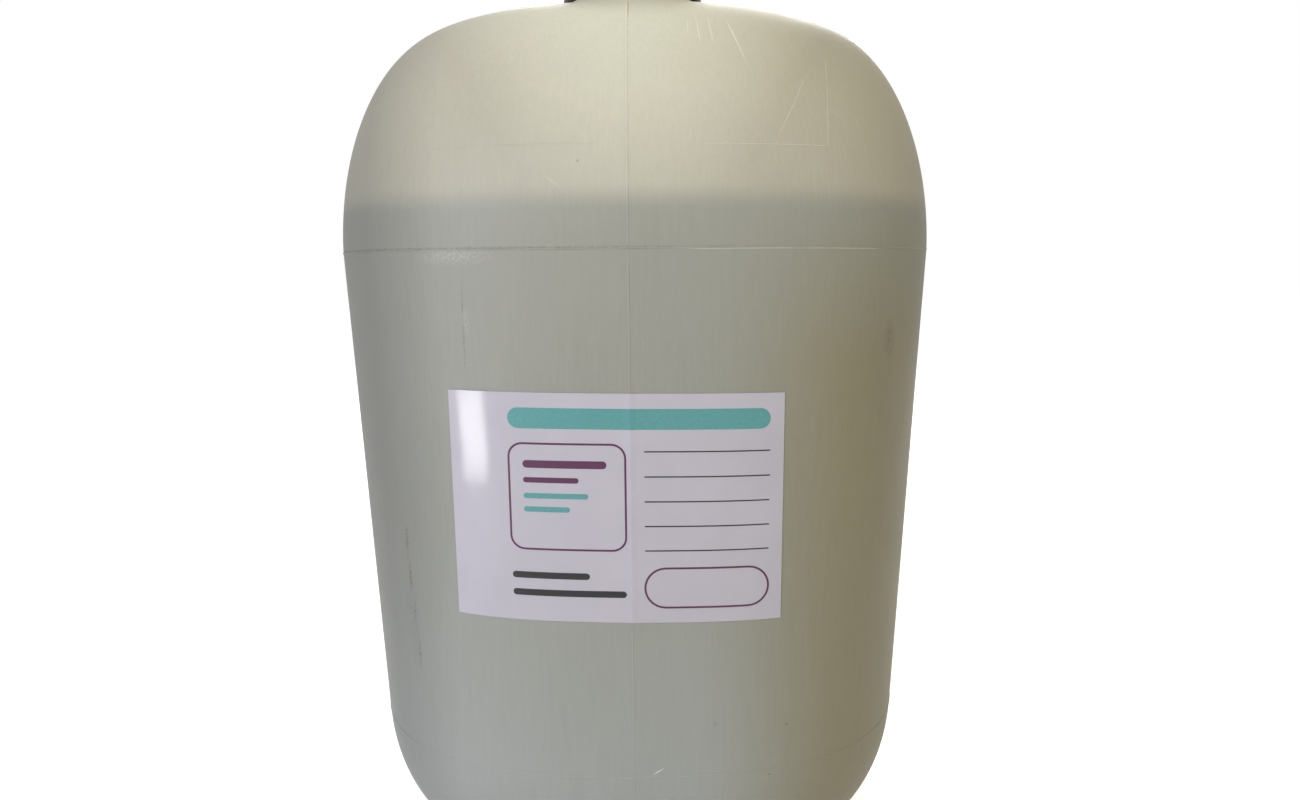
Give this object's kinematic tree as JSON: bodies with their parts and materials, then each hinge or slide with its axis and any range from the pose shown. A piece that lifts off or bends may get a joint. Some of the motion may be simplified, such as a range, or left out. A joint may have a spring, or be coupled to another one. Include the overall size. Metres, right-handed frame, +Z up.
{
  "type": "jerrycan",
  "caption": "Tall translucent blow-moulded plastic can with rounded shoulders, a bridged carrying handle, a ribbed screw cap and a stuck-on label, holding clear liquid.",
  "frame": {"origin": "on the floor, under the middle of the body's plan", "axes": "+Z up, -Y out of the front with the label and the neck, +X to the right as the front is seen"},
  "size_m": [0.3, 0.29, 0.4569],
  "materials": {
    "natural_polyethylene": "satin",
    "clear_liquid": "gloss",
    "label_paper": "gloss",
    "cap_plastic": "satin",
    "liner_foam": "matte"
  },
  "bodies": {
    "can": {"bottle": "natural_polyethylene", "liquid": "clear_liquid", "label": "label_paper"},
    "loose_ring": {"tamper_ring": "cap_plastic"},
    "seal": {"cap_liner": "liner_foam"},
    "screw_cap": {"cap": "cap_plastic"}
  },
  "joints": [
    {"name": "ring_spin", "type": "hinge", "parent": "can", "child": "loose_ring", "pos_m": [0, -0.062, 0.4315], "axis": [0, 0, 1], "continuous": true},
    {"name": "cap_rise", "type": "slide", "parent": "can", "child": "seal", "axis": [0, 0, 1], "range_m": [0, 0.0245]},
    {"name": "cap_turn", "type": "hinge", "parent": "seal", "child": "screw_cap", "pos_m": [0, -0.062, 0.4415], "axis": [0, 0, 1], "range_deg": [0, 1440]}
  ],
  "couplings": [
    {"joint": "cap_rise", "follows": "cap_turn", "m_per_rad": 0.00095493}
  ]
}
